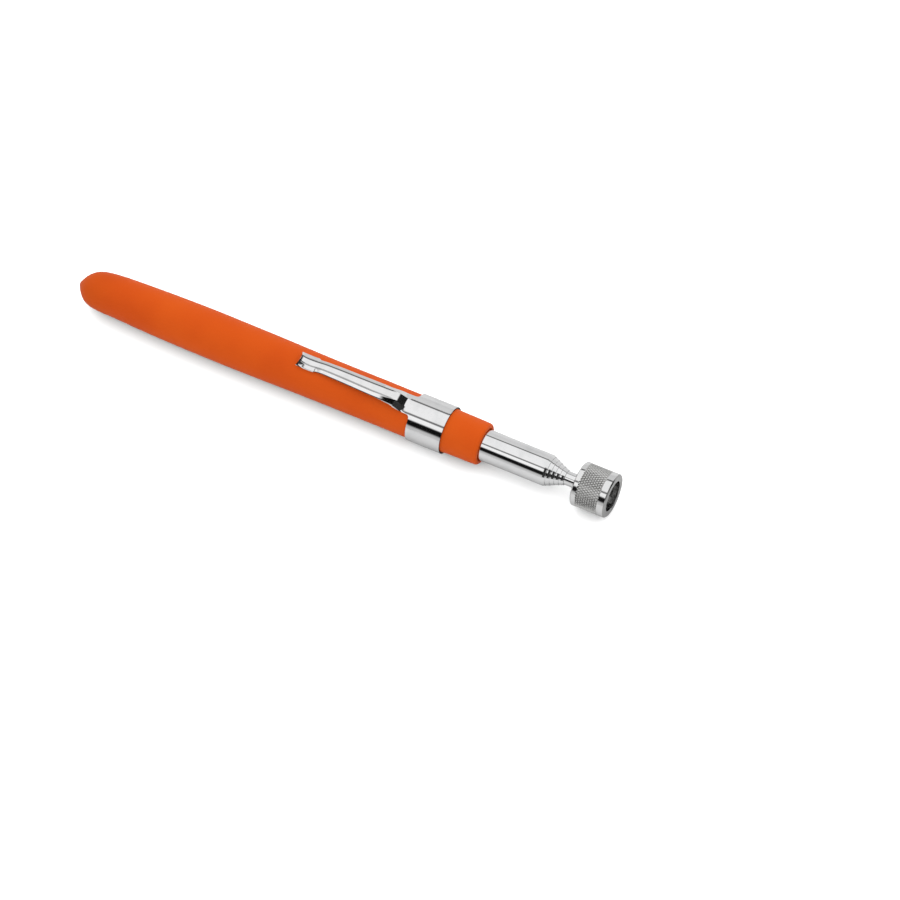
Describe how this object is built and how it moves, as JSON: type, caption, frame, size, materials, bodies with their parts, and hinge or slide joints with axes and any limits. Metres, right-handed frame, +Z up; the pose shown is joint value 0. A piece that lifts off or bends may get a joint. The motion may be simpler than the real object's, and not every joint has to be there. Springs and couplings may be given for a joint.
{
  "type": "telescoping magnetic pick-up tool",
  "caption": "Pocket telescoping pick-up tool: sleeve grip with clip, nested sliding sections and a magnet recessed in a knurled head.",
  "frame": {"origin": "centre of the magnet's working face, on the tool's axis", "axes": "+X along the tool out of the magnet, +Z up through the pocket clip, +Y completes the right-handed set"},
  "size_m": [0.1658, 0.0138, 0.0158],
  "materials": {
    "vinyl_grip": "satin dip-moulded orange vinyl",
    "chrome_tube": "bright chrome plate",
    "chrome_clip": "bright chrome plate on sheet steel",
    "chrome_sections": "bright chrome plate",
    "chrome_head": "chrome plate, knurled middle, polished bands",
    "nickel_magnet": "bright nickel plate",
    "zinc_steel": "turned, unpainted",
    "shim_bronze": "rolled phosphor bronze strip",
    "plug_nylon": "moulded"
  },
  "bodies": {
    "handle": {"grip_sleeve": "vinyl_grip", "body_tube": "chrome_tube", "rear_plug": "plug_nylon", "clip_band": "chrome_clip"},
    "clip": {"clip_arm": "chrome_clip"},
    "section_1": {"stage_1_tube": "chrome_sections", "stage_1_shim_a": "shim_bronze", "stage_1_shim_b": "shim_bronze"},
    "section_2": {"stage_2_tube": "chrome_sections", "stage_2_shim_a": "shim_bronze", "stage_2_shim_b": "shim_bronze"},
    "section_3": {"stage_3_tube": "chrome_sections", "stage_3_shim_a": "shim_bronze", "stage_3_shim_b": "shim_bronze"},
    "section_4": {"stage_4_tube": "chrome_sections", "stage_4_shim_a": "shim_bronze", "stage_4_shim_b": "shim_bronze"},
    "rod_shims": {"rod_shim_a": "shim_bronze", "rod_shim_b": "shim_bronze"},
    "tip": {"rod_tube": "chrome_sections", "head_shell": "chrome_head", "magnet": "nickel_magnet", "back_plate": "zinc_steel", "head_stud": "zinc_steel"}
  },
  "joints": [
    {"name": "clip_flex", "type": "hinge", "parent": "handle", "child": "clip", "pos_m": [-0.05845, 0, 0.0066], "axis": [0, 1, 0], "range_deg": [0, 6], "stiffness_Nm_per_rad": 0.8, "springref_deg": -114.59},
    {"name": "section_1_slide", "type": "slide", "parent": "handle", "child": "section_1", "axis": [1, 0, 0], "range_m": [0, 0.128]},
    {"name": "section_2_slide", "type": "slide", "parent": "section_1", "child": "section_2", "axis": [1, 0, 0], "range_m": [0, 0.123]},
    {"name": "section_3_slide", "type": "slide", "parent": "section_2", "child": "section_3", "axis": [1, 0, 0], "range_m": [0, 0.118]},
    {"name": "section_4_slide", "type": "slide", "parent": "section_3", "child": "section_4", "axis": [1, 0, 0], "range_m": [0, 0.113]},
    {"name": "rod_slide", "type": "slide", "parent": "section_4", "child": "rod_shims", "axis": [1, 0, 0], "range_m": [0, 0.1085]},
    {"name": "head_spin", "type": "hinge", "parent": "rod_shims", "child": "tip", "pos_m": [0, 0, 0], "axis": [1, 0, 0], "continuous": true}
  ]
}
